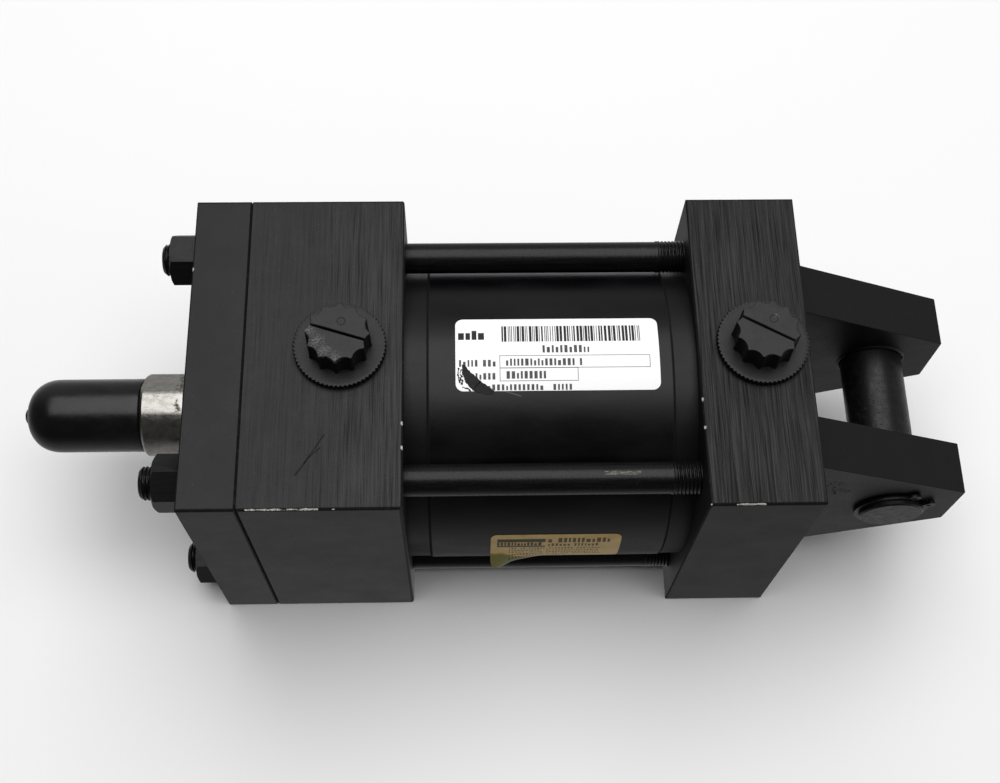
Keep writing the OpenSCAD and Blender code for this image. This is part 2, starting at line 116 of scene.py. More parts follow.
class Finish(Graph):
    """A procedural material: a Principled shader, and the texture nodes that feed it."""

    def __init__(self, name, rough, metallic=0.0, level=0.5):
        self.material = bpy.data.materials.new(name)
        self.material.use_nodes = True
        super().__init__(self.material.node_tree)
        self.shader = self.tree.nodes["Principled BSDF"]
        self.set("Roughness", rough)
        self.set("Metallic", metallic)
        self.set("Specular IOR Level", level)
        texture = self.tree.nodes.new("ShaderNodeTexCoord")
        self.place = texture.outputs["Object"]
        self.normal = texture.outputs["Normal"]
        axes = self.add("SeparateXYZ", {0: self.place})
        self.x, self.y, self.z = axes.outputs

    def set(self, name, value):
        """Sets one of the shader's own inputs to a constant or to a socket."""
        if isinstance(value, bpy.types.NodeSocket):
            self.tree.links.new(value, self.shader.inputs[name])
        else:
            self.shader.inputs[name].default_value = value

    def noise(self, size, detail=2.0, rough=0.5, seed=0.0):
        """Noise from 0 to 1. size is the width of its blotches, or one width for each axis."""
        sizes = size if isinstance(size, tuple) else (size,) * 3
        moved = self.add("Mapping", {
            "Vector": self.place,
            "Location": (seed, seed * 0.7, -seed),
            "Scale": tuple(1 / s for s in sizes),
        })
        made = self.add("TexNoise", {
            "Vector": moved.outputs[0], "Scale": 1.0, "Detail": detail, "Roughness": rough,
        })
        return made.outputs[0]

    def mix(self, share, a, b):
        """Colour a where share is 0 and b where it is 1."""
        def colour(value):
            return value if isinstance(value, bpy.types.NodeSocket) else (*value, 1.0)
        made = self.add("Mix", {0: share, 6: colour(a), 7: colour(b)}, data_type="RGBA")
        return made.outputs[2]

    def near(self, points, reach):
        """1 at any of the points, falling to 0 at reach from them."""
        best = None
        for point in points:
            gap = self.add("VectorMath", {0: self.place, 1: point}, operation="DISTANCE")
            share = self.step(gap.outputs["Value"], 0.0, reach, 1.0, 0.0)
            best = share if best is None else self.larger(best, share)
        return best

    def stretch(self, value, low, high, fade=1.5 * MM):
        """1 where value lies from low to high, fading out past both."""
        return self.product(self.step(value, low - fade, low), self.step(value, high, high + fade, 1.0, 0.0))

    def beside(self, start, end, reach):
        """1 on the straight line from start to end, in the plane of X and Y, falling to 0 at reach."""
        along = (Vector(end) - Vector(start)).normalized()
        off_x = self.math("MULTIPLY", self.minus(self.x, start[0]), along.y)
        off_y = self.math("MULTIPLY", self.minus(self.y, start[1]), along.x)
        off = self.unsigned(self.minus(off_x, off_y))
        run = self.stretch(self.y, min(start[1], end[1]), max(start[1], end[1]), MM)
        return self.product(self.step(off, 0.0, reach, 1.0, 0.0), run, self.facing(Z))

    def facing(self, axis, low=0.85, high=0.97):
        """1 on faces whose normal lies along that axis, either way."""
        normal = self.add("SeparateXYZ", {0: self.normal})
        return self.step(self.unsigned(normal.outputs[axis]), low, high)

    def edge_gap(self, box):
        """Distance from the nearest edge of a box, for a point on one of its faces."""
        gaps = []
        for value, low, high in zip((self.x, self.y, self.z), *box):
            off = self.minus(value, (low + high) / 2)
            gaps.append(self.minus((high - low) / 2, self.unsigned(off)))
        least = self.math("MINIMUM", self.math("MINIMUM", gaps[0], gaps[1]), gaps[2])
        most = self.larger(self.larger(gaps[0], gaps[1]), gaps[2])
        total = self.plus(self.plus(gaps[0], gaps[1]), gaps[2])
        return self.minus(self.minus(total, least), most)

    def bump(self, *layers):
        """Stacks (height, depth in metres) layers, each on the one before, on the shader's normal."""
        normal = None
        for height, depth in layers:
            values = {"Height": height, "Distance": depth, "Strength": 1.0}
            if normal is not None:
                values["Normal"] = normal
            normal = self.add("Bump", values).outputs[0]
        self.set("Normal", normal)


def paint(name, box, dark, light, rough, milled=0.0, milled_from=None, chips=(), chip_run=None,
          scratches=(), pits=()):
    """Black paint over steel: milled lines along Y on its upper and lower faces, lightened as painted sheen
    and darkened as painted shade, painted shade on its chamfers, wear at its edges.
    """
    f = Finish(name, rough, level=0.26)
    grain = f.noise(0.35 * MM, 3.0)
    cloud = f.noise(13 * MM, 4.0, 0.6, seed=3.1)
    patch = f.noise(3.2 * MM, 3.0, 0.6, seed=14.0)
    colour = f.mix(f.step(cloud, 0.3, 0.7), dark, light)
    colour = f.mix(f.product(f.step(patch, 0.45, 0.7), 0.45), colour, tuple(c * 1.9 for c in light))
    gloss = f.plus(f.product(grain, 0.6), f.product(cloud, 0.4))
    gloss = f.step(gloss, 0.35, 0.65, rough - 0.05, rough + 0.05)
    layers = [(grain, 0.016 * MM), (f.noise(1.5 * MM, 1.0, seed=8.0), 0.020 * MM)]
    edge = f.edge_gap(box)
    if milled:
        fine = f.noise((0.24 * MM, 16 * MM, 16 * MM), 2.0, seed=1.7)
        broad = f.noise((0.70 * MM, 40 * MM, 40 * MM), 2.0, seed=5.3)
        lines = f.plus(f.product(fine, 0.62), f.product(broad, 0.38))
        strong = f.product(f.facing(Z), milled)
        if milled_from is not None:
            strong = f.product(strong, f.step(f.x, milled_from[0], milled_from[1], 0.35, 1.0))
        # Milled lines: the grooves are real in bump and roughness; the lighter colour on the bright lines is
        # painted sheen, the darker colour on the deep lines is painted shade.
        bright = f.product(f.step(lines, 0.50, 0.60), strong)
        deep = f.product(f.step(lines, 0.36, 0.48, 1.0, 0.0), strong)
        colour = f.mix(bright, colour, (0.0165, 0.0165, 0.0185))
        colour = f.mix(f.product(deep, 0.8), colour, (0.0015, 0.0015, 0.0015))
        gloss = f.plus(gloss, f.product(bright, -0.07))
        gloss = f.plus(gloss, f.product(deep, 0.30))
        layers.append((f.product(lines, strong), 0.060 * MM))
    for start, end, reach in scratches:
        rough_line = f.math("MULTIPLY", f.beside(start, end, reach), f.step(patch, 0.30, 0.45, 0.35, 1.0))
        mark = f.step(rough_line, 0.25, 0.60)
        colour = f.mix(f.product(mark, 0.9), colour, (0.0012, 0.0012, 0.0014))
        gloss = f.plus(gloss, f.product(mark, 0.14))
        layers.append((f.inverse(mark), 0.035 * MM))
    if pits:
        spatter = f.plus(f.noise(0.95 * MM, 1.0, seed=22.0), f.product(f.near(pits, 6.5 * MM), 0.26))
        spatter = f.step(spatter, 0.80, 0.84)
        colour = f.mix(spatter, colour, (0.0005, 0.0005, 0.0005))
        gloss = f.plus(gloss, f.product(spatter, 0.4))
        layers.append((f.inverse(spatter), 0.20 * MM))
    # Faces off the three axes, the chamfers, are darkened: painted shade along the block edges.
    flat = f.larger(f.larger(f.facing(X), f.facing(Y)), f.facing(Z))
    chamfer_shade = f.inverse(flat)
    colour = f.mix(f.product(chamfer_shade, 0.8), colour, (0.0006, 0.0006, 0.0007))
    gloss = f.plus(gloss, f.product(chamfer_shade, 0.25))
    broken = f.noise(2.0 * MM, 4.0, 0.65, seed=11.0)
    rubbed = f.product(f.step(edge, 0.15 * MM, 0.9 * MM, 1.0, 0.0), f.step(broken, 0.52, 0.70))
    colour = f.mix(f.product(rubbed, 0.35), colour, (0.030, 0.030, 0.030))
    if chips or chip_run:
        bare = f.near(chips, 1.5 * MM) if chips else f.product(edge, 0.0)
        if chip_run:
            low, high = chip_run
            by_front = f.step(f.y, box[0].y + 1.4 * MM, box[0].y + 2.0 * MM, 1.0, 0.0)
            by_top = f.step(f.z, half_side - 3 * MM, half_side - 2 * MM)
            run = f.product(f.stretch(f.x, low, high, 1.0 * MM), by_front)
            bare = f.larger(bare, f.product(run, by_top, 0.70))
        flake = f.noise((1.5 * MM, 0.8 * MM, 0.8 * MM), 4.0, 0.7, seed=4.0)
        bare = f.plus(f.product(bare, 0.7), f.product(flake, 0.75))
        off_edge = f.unsigned(f.minus(edge, 0.30 * MM))
        bare = f.minus(bare, f.step(off_edge, 0.05 * MM, 0.75 * MM, 0.0, 0.62))
        bare = f.step(bare, 0.76, 0.82)
        colour = f.mix(bare, colour, f.mix(f.step(grain, 0.4, 0.6), (0.30, 0.28, 0.25), (0.62, 0.61, 0.58)))
        gloss = f.plus(gloss, f.product(bare, -0.06))
        layers.append((f.inverse(bare), 0.07 * MM))
    dust = f.product(f.step(f.noise(0.45 * MM, 0.0, seed=31.0), 0.85, 0.88), f.facing(Z), 0.25)
    f.set("Base Color", f.mix(dust, colour, (0.2, 0.2, 0.2)))
    f.set("Roughness", gloss)
    f.bump(*layers)
    return f.material


def barrel_paint():
    f = Finish("barrel_black", 0.34, level=0.21)
    cloud = f.noise((20 * MM, 9 * MM, 9 * MM), 4.0, seed=2.0)
    grain = f.noise(0.45 * MM, 3.0)
    colour = f.mix(f.step(cloud, 0.3, 0.75), (0.0012, 0.0012, 0.0017), (0.0032, 0.0032, 0.0040))
    gloss = f.plus(f.step(cloud, 0.3, 0.7, 0.30, 0.38), f.step(grain, 0.3, 0.7, -0.03, 0.03))
    angle = f.math("ARCTAN2", f.z, f.y)

    off_line = f.unsigned(f.minus(f.unsigned(angle), math.pi))
    ticks = f.product(f.step(off_line, 0.010, 0.016, 1.0, 0.0),
                      f.step(f.noise((1.3 * MM, 1.0, 1.0), 0.0, seed=6.0), 0.56, 0.60))
    steps = (head_x[1] + 6.65 * MM, cap_x[0] - 6.65 * MM)
    seam = None
    for place in steps:
        line = f.step(f.unsigned(f.minus(f.x, place)), 0.15 * MM, 0.55 * MM, 1.0, 0.0)
        seam = line if seam is None else f.larger(seam, line)
    # The end lands past the steps get a lighter colour: a painted reflection.
    land_sheen = f.larger(f.step(f.x, steps[0] - MM, steps[0], 1.0, 0.0),
                  f.step(f.x, steps[1], steps[1] + MM))
    colour = f.mix(f.product(land_sheen, 0.5), colour, (0.0065, 0.0065, 0.0075))
    colour = f.mix(f.larger(ticks, seam), colour, (0.0003, 0.0003, 0.0004))
    gloss = f.plus(gloss, f.plus(f.product(seam, 0.45), f.product(land_sheen, 0.10)))
    gloss = f.plus(gloss, f.step(f.z, -5 * MM, 14 * MM, 0.24, 0.0))

    start_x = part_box("id_label")[0].x + 11.2 * MM
    start_angle, slope = math.radians(104.2), math.radians(2.7) / (6.7 * MM)
    expected = f.plus(f.product(f.minus(f.x, start_x), slope), start_angle)
    off_scratch = f.unsigned(f.minus(angle, expected))
    scratch = f.product(f.step(off_scratch, 0.0020, 0.0050, 1.0, 0.0),
                        f.stretch(f.x, start_x, start_x + 6.7 * MM, 0.8 * MM))
    colour = f.mix(f.product(scratch, 0.7), colour, (0.10, 0.10, 0.095))
    wear = f.step(f.noise(0.9 * MM, 4.0, 0.7, seed=9.0), 0.72, 0.80)
    colour = f.mix(f.product(wear, 0.20), colour, (0.05, 0.05, 0.05))
    f.set("Base Color", colour)
    f.set("Roughness", gloss)
    f.bump((grain, 0.012 * MM), (f.noise(2.0 * MM, 1.0, seed=7.0), 0.014 * MM))
    return f.material


def oxide(name, knock=None, rough=0.31, dark=0.0014, light=0.0050):
    """Satin black on turned or rolled steel. knock is a stretch along X that was rubbed bright."""
    f = Finish(name, rough, level=0.23)
    along = f.noise((9 * MM, 0.6 * MM, 0.6 * MM), 3.0, seed=1.0)
    grain = f.noise(0.4 * MM, 3.0, seed=2.0)
    spots = f.noise(1.0 * MM, 4.0, 0.7, seed=13.0)
    colour = f.mix(f.step(along, 0.3, 0.7), (dark,) * 3, (light, light, light * 1.05))
    spot = f.product(f.step(spots, 0.70, 0.76), 0.18)
    if knock:
        low, high, y, z = knock
        ring = f.add("CombineXYZ", {1: f.minus(f.y, y), 2: f.minus(f.z, z)})
        off = f.add("VectorMath", {0: ring.outputs[0]}, operation="LENGTH").outputs["Value"]
        core = f.step(off, 0.4 * MM, 1.3 * MM, 0.60, 0.0)
        torn = f.plus(f.product(f.stretch(f.x, low, high, 1.4 * MM), core),
                      f.product(f.noise((1.7 * MM, 0.40 * MM, 0.40 * MM), 4.0, 0.75, seed=5.0), 0.8))
        spot = f.larger(spot, f.product(f.step(torn, 0.94, 1.06), 0.42))
    f.set("Base Color", f.mix(spot, colour, (0.36, 0.34, 0.30)))
    f.set("Roughness", f.step(grain, 0.3, 0.7, rough - 0.06, rough + 0.07))
    f.bump((grain, 0.010 * MM), (along, 0.010 * MM), (f.inverse(spot), 0.02 * MM))
    return f.material


def pin_steel():
    """Blackened steel pin, mottled and lightly pitted, with thin bare patches."""
    f = Finish("pin_dark_steel", 0.34, level=0.25)
    mottle = f.noise(2.2 * MM, 5.0, 0.65, seed=3.0)
    fine = f.noise(0.45 * MM, 3.0, 0.6, seed=5.0)
    rings = f.noise((0.5 * MM, 0.16 * MM, 0.5 * MM), 2.0, seed=8.0)
    colour = f.mix(f.step(mottle, 0.35, 0.68), (0.0016, 0.0015, 0.0014), (0.0080, 0.0080, 0.0080))
    pit = f.step(fine, 0.60, 0.68)
    bare = f.product(f.step(mottle, 0.62, 0.72), f.step(fine, 0.45, 0.60))
    colour = f.mix(f.product(bare, 0.5), colour, (0.035, 0.034, 0.032))
    colour = f.mix(f.product(pit, 0.7), colour, (0.0010, 0.0009, 0.0008))
    f.set("Base Color", colour)
    f.set("Roughness", f.plus(f.step(mottle, 0.3, 0.7, 0.44, 0.30), f.product(pit, 0.15)))
    f.bump((f.inverse(pit), 0.03 * MM), (mottle, 0.02 * MM), (rings, 0.004 * MM))
    return f.material


def plated_steel():
    """Ground and plated rod: fine rings round the axis, haze, brown film, and marks in the corners."""
    f = Finish("rod_plated", 0.2, metallic=1.0)
    rings = f.noise((0.16 * MM, 6 * MM, 6 * MM), 3.0, 0.6, seed=1.0)
    scuffs = f.noise((1.8 * MM, 0.5 * MM, 0.5 * MM), 4.0, 0.7, seed=8.0)
    stain = f.noise(2.0 * MM, 4.0, 0.65, seed=12.0)
    colour = f.mix(f.step(stain, 0.35, 0.7), (0.262, 0.257, 0.240), (0.190, 0.181, 0.164))
    flats_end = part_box("rod_thread_cap")[1].x + 12.2 * MM
    past = f.minus(f.x, flats_end)
    colour = f.mix(f.product(f.step(past, 0.0, 0.6 * MM), 0.30), colour, (0.37, 0.365, 0.35))
    corner = f.step(f.unsigned(f.plus(past, 0.5 * MM)), 0.2 * MM, 1.9 * MM, 1.0, 0.0)
    grime = f.product(corner, f.step(stain, 0.47, 0.60))
    specks = f.step(f.noise(0.8 * MM, 4.0, 0.65, seed=17.0), 0.66, 0.72)
    hairs = f.step(f.noise((3.0 * MM, 0.22 * MM, 0.22 * MM), 2.0, seed=19.0), 0.70, 0.76)
    dirt = f.larger(f.product(grime, 0.8), f.larger(f.product(specks, 0.45), f.product(hairs, 0.3)))
    f.set("Base Color", f.mix(dirt, colour, (0.035, 0.024, 0.017)))
    f.set("Roughness", f.plus(f.step(scuffs, 0.35, 0.7, 0.17, 0.30), f.product(dirt, 0.3)))
    f.bump((rings, 0.005 * MM), (scuffs, 0.008 * MM), (f.inverse(hairs), 0.01 * MM))
    return f.material


def vinyl():
    f = Finish("dipped_vinyl", 0.27, level=0.30)
    cloud = f.noise((9 * MM, 5 * MM, 5 * MM), 3.0, seed=5.0)
    dust = f.step(f.noise(0.32 * MM, 2.0, seed=7.0), 0.70, 0.78)
    colour = f.mix(f.step(cloud, 0.3, 0.7), (0.0030, 0.0029, 0.0031), (0.0068, 0.0062, 0.0060))
    f.set("Base Color", f.mix(f.product(dust, 0.16), colour, (0.06, 0.06, 0.06)))
    f.set("Roughness", f.plus(f.step(cloud, 0.3, 0.7, 0.24, 0.31), f.product(dust, 0.1)))
    f.bump((f.noise(3.5 * MM, 2.0, seed=4.0), 0.06 * MM), (f.noise(0.3 * MM, 2.0), 0.008 * MM))
    return f.material


def moulded_black(name, scuffs, centre, slot):
    """Moulded polyethylene with pale scuffs round the given points, and painted shade on the grip's walls and
    in the slot.
    """
    f = Finish(name, 0.42, level=0.27)
    cloud = f.noise(3.0 * MM, 4.0, seed=2.0)
    grain = f.noise(0.25 * MM, 3.0, seed=3.0)
    colour = f.mix(f.step(cloud, 0.3, 0.7), (0.0032, 0.0032, 0.0038), (0.0066, 0.0066, 0.0075))
    across = Vector((-math.sin(slot), math.cos(slot)))
    off_x = f.product(f.minus(f.x, centre), across.x)
    off = f.unsigned(f.plus(off_x, f.product(f.y, across.y)))
    top = f.step(f.z, half_side + 9.3 * MM, half_side + 9.9 * MM)
    reach = 6.0 * MM if len(scuffs) > 1 else 2.2 * MM
    rubbed = f.plus(f.product(f.near(scuffs, reach), 0.42),
                    f.product(f.noise((0.60 * MM, 0.42 * MM, 0.60 * MM), 4.0, 0.75, seed=6.0), 1.0))
    rubbed = f.product(f.step(rubbed, 0.80, 1.04), f.step(f.z, half_side + 7 * MM, half_side + 9.5 * MM))
    haze = f.product(top, f.step(cloud, 0.35, 0.65, 0.3, 0.8))
    colour = f.mix(f.product(haze, 0.5), colour, (0.0116, 0.0116, 0.0126))
    # The grip's walls and the inside of the slot are darkened: painted shade.
    wall = f.product(f.step(f.z, half_side + 2.2 * MM, half_side + 2.5 * MM), f.inverse(top))
    slot_shade = f.product(f.step(off, 0.35 * MM, 0.42 * MM, 1.0, 0.0), f.inverse(f.facing(Z)))
    colour = f.mix(f.larger(f.product(wall, 0.8), slot_shade), colour, (0.0016, 0.0016, 0.0018))
    f.set("Base Color", f.mix(f.product(rubbed, 0.75), colour, (0.17, 0.17, 0.165)))
    gloss = f.plus(f.step(grain, 0.3, 0.7, 0.38, 0.48), f.product(rubbed, 0.15))
    f.set("Roughness", f.plus(gloss, f.product(f.larger(f.product(wall, 0.3), slot_shade), 0.45)))
    f.bump((grain, 0.010 * MM), (f.noise(1.4 * MM, 2.0, seed=4.0), 0.03 * MM), (rubbed, 0.02 * MM))
    return f.material


def white_film():
    f = Finish("label_white_film", 0.36)
    cloud = f.noise(7 * MM, 3.0, seed=6.0)
    speck = f.step(f.noise(0.6 * MM, 3.0, 0.7, seed=15.0), 0.70, 0.76)
    shade = f.mix(f.step(cloud, 0.25, 0.75), (0.90, 0.905, 0.905), (0.94, 0.945, 0.945))
    f.set("Base Color", f.mix(f.product(speck, 0.35), shade, (0.35, 0.34, 0.33)))
    f.set("Roughness", f.step(cloud, 0.3, 0.7, 0.32, 0.44))
    f.bump((f.noise(2.4 * MM, 2.0, seed=9.0), 0.02 * MM))
    return f.material


def gold_film(corner):
    """Gold film that turns olive where it has let go, towards the loose corner."""
    f = Finish("label_gold_film", 0.45, level=0.30)
    cloud = f.noise((6 * MM, 4 * MM, 4 * MM), 4.0, 0.6, seed=6.0)
    shade = f.mix(f.step(cloud, 0.30, 0.72), (0.358, 0.240, 0.078), (0.462, 0.326, 0.128))
    up = f.math("DIVIDE", f.minus(f.z, corner[Z]), 6.2 * MM)
    along = f.math("DIVIDE", f.larger(f.minus(f.x, corner[X] + 3.5 * MM), 0.0), 12 * MM)
    wavy = f.plus(f.plus(up, along), f.product(f.noise(2.5 * MM, 3.0, seed=2.0), 0.25))
    shade = f.mix(f.step(wavy, 1.15, 1.35, 1.0, 0.0), shade, (0.48, 0.30, 0.085))
    shade = f.mix(f.step(wavy, 0.92, 1.12, 1.0, 0.0), shade, (0.135, 0.125, 0.035))
    f.set("Base Color", shade)
    f.set("Roughness", f.step(cloud, 0.3, 0.7, 0.38, 0.55))
    f.bump((f.noise(1.8 * MM, 3.0, seed=9.0), 0.04 * MM))
    return f.material


def ink(name, dark, light):
    f = Finish(name, 0.5, level=0.2)
    wear = f.noise(0.5 * MM, 3.0, seed=1.0)
    f.set("Base Color", f.mix(f.step(wear, 0.35, 0.75), dark, light))
    f.set("Roughness", f.step(wear, 0.3, 0.7, 0.45, 0.6))
    return f.material


def turned(name, dark, light, rough, metallic):
    """Lathe-turned or moulded round part: fine rings round the cylinder's axis over a soft mottle."""
    f = Finish(name, rough, metallic=metallic)
    rings = f.noise((0.22 * MM, 12 * MM, 12 * MM), 3.0, 0.6, seed=2.0)
    mottle = f.noise(2.5 * MM, 4.0, 0.6, seed=4.0)
    f.set("Base Color", f.mix(f.step(mottle, 0.3, 0.7), dark, light))
    f.set("Roughness", f.step(rings, 0.3, 0.7, rough - 0.07, rough + 0.07))
    f.bump((rings, 0.008 * MM), (mottle, 0.006 * MM))
    return f.material


# --- Mesh building ---

class Build:
    """Gathers closed solids into one mesh in the row frame."""

    def __init__(self):
        self.mesh = bmesh.new()

    def loft(self, rings, wrap=False):
        """Joins rings of points, each a closed loop of the same length; the ends are closed over."""
        made = [[self.mesh.verts.new(p) for p in ring] for ring in rings]
        count = len(rings[0])
        pairs = list(zip(made, made[1:])) + ([(made[-1], made[0])] if wrap else [])
        for a, b in pairs:
            for i in range(count):
                j = (i + 1) % count
                self.mesh.faces.new((a[i], a[j], b[j], b[i]))
        if not wrap:
            self.mesh.faces.new(made[0][::-1])
            self.mesh.faces.new(made[-1])

    def piece(self, name, material, body, slot, replaces=(), sharp=35.0):
        """The finished object, smooth where its faces meet at less than sharp degrees."""
        bmesh.ops.recalc_face_normals(self.mesh, faces=self.mesh.faces)
        data = bpy.data.meshes.new(name)
        self.mesh.to_mesh(data)
        self.mesh.free()
        for polygon in data.polygons:
            polygon.use_smooth = True
        data.set_sharp_from_angle(angle=math.radians(sharp))
        piece = bpy.data.objects.new(name, data)
        bpy.context.scene.collection.objects.link(piece)
        data.materials.append(material)
        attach(piece, body)
        if replaces:
            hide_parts(*replaces)
        return piece


def circle(radius, angles):
    """Points round a centre. radius is a number or a function of the angle."""
    for a in angles:
        r = radius(a) if callable(radius) else radius
        yield r * math.cos(a), r * math.sin(a)


def around_x(x, radius, angles, y=0.0, z=0.0):
    return [Vector((x, y + p, z + q)) for p, q in circle(radius, angles)]


def around_z(x, z, radius, angles, y=0.0):
    return [Vector((x + p, y + q, z)) for p, q in circle(radius, angles)]


def turns(count):
    return [TAU * i / count for i in range(count)]


def spread(start, end, step):
    """Evenly spaced values from start to end, no further than step apart."""
    count = max(1, math.ceil(abs(end - start) / step))
    return [start + (end - start) * i / count for i in range(count + 1)]


def thread_cut(x, angle, pitch, depth):
    """How deep a right-hand 60 degree thread cuts below its crest, with flats on crest and root."""
    rise = abs(2 * ((x / pitch - angle / TAU) % 1.0) - 1)
    return depth * min(1.0, max(0.0, (7 / 8 - rise) / (5 / 8)))


def threaded(x0, x1, major, pitch, angles, fade0=0.0, fade1=0.0, tip=0.0, deep=0.61):
    """Rings of a threaded stretch. The cut fades in over fade0 or out over fade1; tip chamfers x0."""
    depth = deep * pitch
    rings = []
    for x in spread(x0, x1, pitch / 10):
        share = min(1.0, (x - x0) / fade0 if fade0 else 1.0, (x1 - x) / fade1 if fade1 else 1.0)
        limit = major - max(0.0, tip - (x - x0))

        def radius(a, x=x, share=share, limit=limit):
            return min(limit, major - share * thread_cut(x, a, pitch, depth))
        rings.append((x, radius))
    return rings


# --- Tie rods and piston rod ---

def tie_rod(node, material):
    """Rolled tie rod with a thread at each end."""
    pitch = 1.058 * MM
    shank = 4.5 * MM
    front_seat = 5 * MM
    visible = 8 * MM
    low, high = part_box(node)
    y, z = (low.y + high.y) / 2, (low.z + high.z) / 2
    major = (high.y - low.y) / 2
    angles = turns(48)
    thread_out = cap_x[0] - visible
    profile = threaded(low.x, plate_x[0] + MM, major, pitch, angles, tip=0.9 * MM, deep=0.36)
    profile += [(plate_x[0] + front_seat, major - 0.6 * pitch), (plate_x[0] + front_seat, shank)]
    profile += [(x, shank) for x in spread(plate_x[1], thread_out - 0.6 * MM, 12 * MM)]
    profile += threaded(thread_out, cap_x[0] + MM, major, pitch, angles, fade0=pitch, deep=0.28)
    profile += [(cap_x[0] + 2 * MM, major - 0.6 * pitch), (high.x, major - 0.6 * pitch)]
    build = Build()
    build.loft([around_x(x, r, angles, y, z) for x, r in profile])
    return build.piece(node + "_threaded", material, "cylinder_body", "black_oxide", (node,))


def piston_rod(material):
    """Plated rod: cut thread, relief, chamfered shoulder, wrench flats, shaft and piston stud."""
    pitch = 1.5875 * MM
    thread_len = 28.575 * MM
    relief = 2.5 * MM
    flats_len = 12 * MM
    half_flats = 11.1 * MM
    flat_turn = math.radians(49)
    low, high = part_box("piston_rod")
    shaft = high.z
    stud = 9 * MM
    major = 9.525 * MM
    shoulder = low.x + thread_len
    piston_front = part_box("piston")[0].x
    corner = math.acos(half_flats / shaft)
    corners = [(flat_turn + side + turn) % TAU for side in (0, math.pi) for turn in (-corner, corner)]
    angles = sorted(turns(120) + corners)

    def flats(radius):
        def at(a):
            lean = abs(math.cos(a - flat_turn))
            return min(radius, half_flats / max(lean, 0.01))
        return at

    profile = threaded(low.x, shoulder - relief, major, pitch, angles, fade1=pitch, tip=1.2 * MM)
    profile += [
        (shoulder - relief + 0.6 * MM, major - 1 * MM),
        (shoulder, major - 1 * MM),
        (shoulder, flats(shaft - 1 * MM)),
        (shoulder + 0.3 * MM, flats(shaft - 0.55 * MM)),
        (shoulder + 1 * MM, flats(shaft)),
    ]
    along_flats = spread(shoulder + 2 * MM, shoulder + flats_len - 0.35 * MM, 3 * MM)
    profile += [(x, flats(shaft)) for x in along_flats]
    profile += [(shoulder + flats_len, flats(shaft)), (shoulder + flats_len + 0.05 * MM, shaft)]
    profile += [(x, shaft) for x in spread(shoulder + flats_len + MM, piston_front, 12 * MM)]
    profile += [(piston_front, stud), (high.x - 0.5 * MM, stud), (high.x, stud - 0.5 * MM)]
    build = Build()
    build.loft([around_x(x, r, angles) for x, r in profile])
    return build.piece("piston_rod_threaded", material, "rod", "rod_steel", ("piston_rod",), sharp=28)


def thread_cap(material):
    """Dipped vinyl cap: rolled rim, faint waves in the wall, domed end with a drip nib."""
    low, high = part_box("rod_thread_cap")
    outer = high.z
    bore = 9.575 * MM
    bore_end = high.x - 29 * MM
    nib_r, nib_len = 2.4 * MM, 1.0 * MM
    dome, power = 10.4 * MM, 2.3
    end = low.x + nib_len
    angles = turns(96)

    def wavy(radius, x):
        def at(a):
            wave = math.sin(2 * a + 0.7 + 60 * x) + 0.6 * math.sin(3 * a - 130 * x)
            return radius * (1 - 0.004 + 0.0025 * wave)
        return at

    profile = [(bore_end - 2.5 * MM, 4.5 * MM), (bore_end, bore), (high.x - 0.4 * MM, bore)]
    profile += [(high.x - 0.1 * MM, bore + 0.15 * MM), (high.x, bore + 0.5 * MM), (high.x, outer - 0.6 * MM)]
    profile += [(high.x - 0.2 * MM, outer - 0.15 * MM), (high.x - 0.7 * MM, outer)]
    straight = spread(high.x - 3 * MM, end + dome, 2.5 * MM)
    profile += [(x, wavy(outer, x)) for x in straight]
    for t in spread(0.0, math.pi / 2, math.radians(5))[1:-1]:
        x = end + dome * (1 - math.sin(t) ** (2 / power))
        r = outer * math.cos(t) ** (2 / power)
        if r > nib_r + 0.4 * MM:
            profile.append((x, wavy(r, x)))
    profile += [(end + 0.12 * MM, nib_r + 0.3 * MM), (end - 0.15 * MM, nib_r)]
    profile += [(end - nib_len * out, nib_r - less * MM) for out, less in ((0.6, 0.25), (0.9, 0.8), (1, 1.5))]
    build = Build()
    build.loft([around_x(x, r, angles) for x, r in profile])
    return build.piece("thread_cap_dipped", material, "thread_cap", "cap_vinyl",
                       ("rod_thread_cap",), sharp=50)


# --- Port plugs ---

def scalloped(outer, inner_points, scallop_r, depth, turn):
    """Radius of a grip with scallops cut into it, as a function of the angle."""
    pitch = TAU / inner_points
    at = outer - depth + scallop_r

    def radius(a, grow=0.0):
        off = (a - turn + pitch / 2) % pitch - pitch / 2
        across = at * math.sin(off)
        if abs(across) >= scallop_r:
            return outer + grow
        return min(outer, at * math.cos(off) - math.sqrt(scallop_r ** 2 - across ** 2)) + grow
    return radius


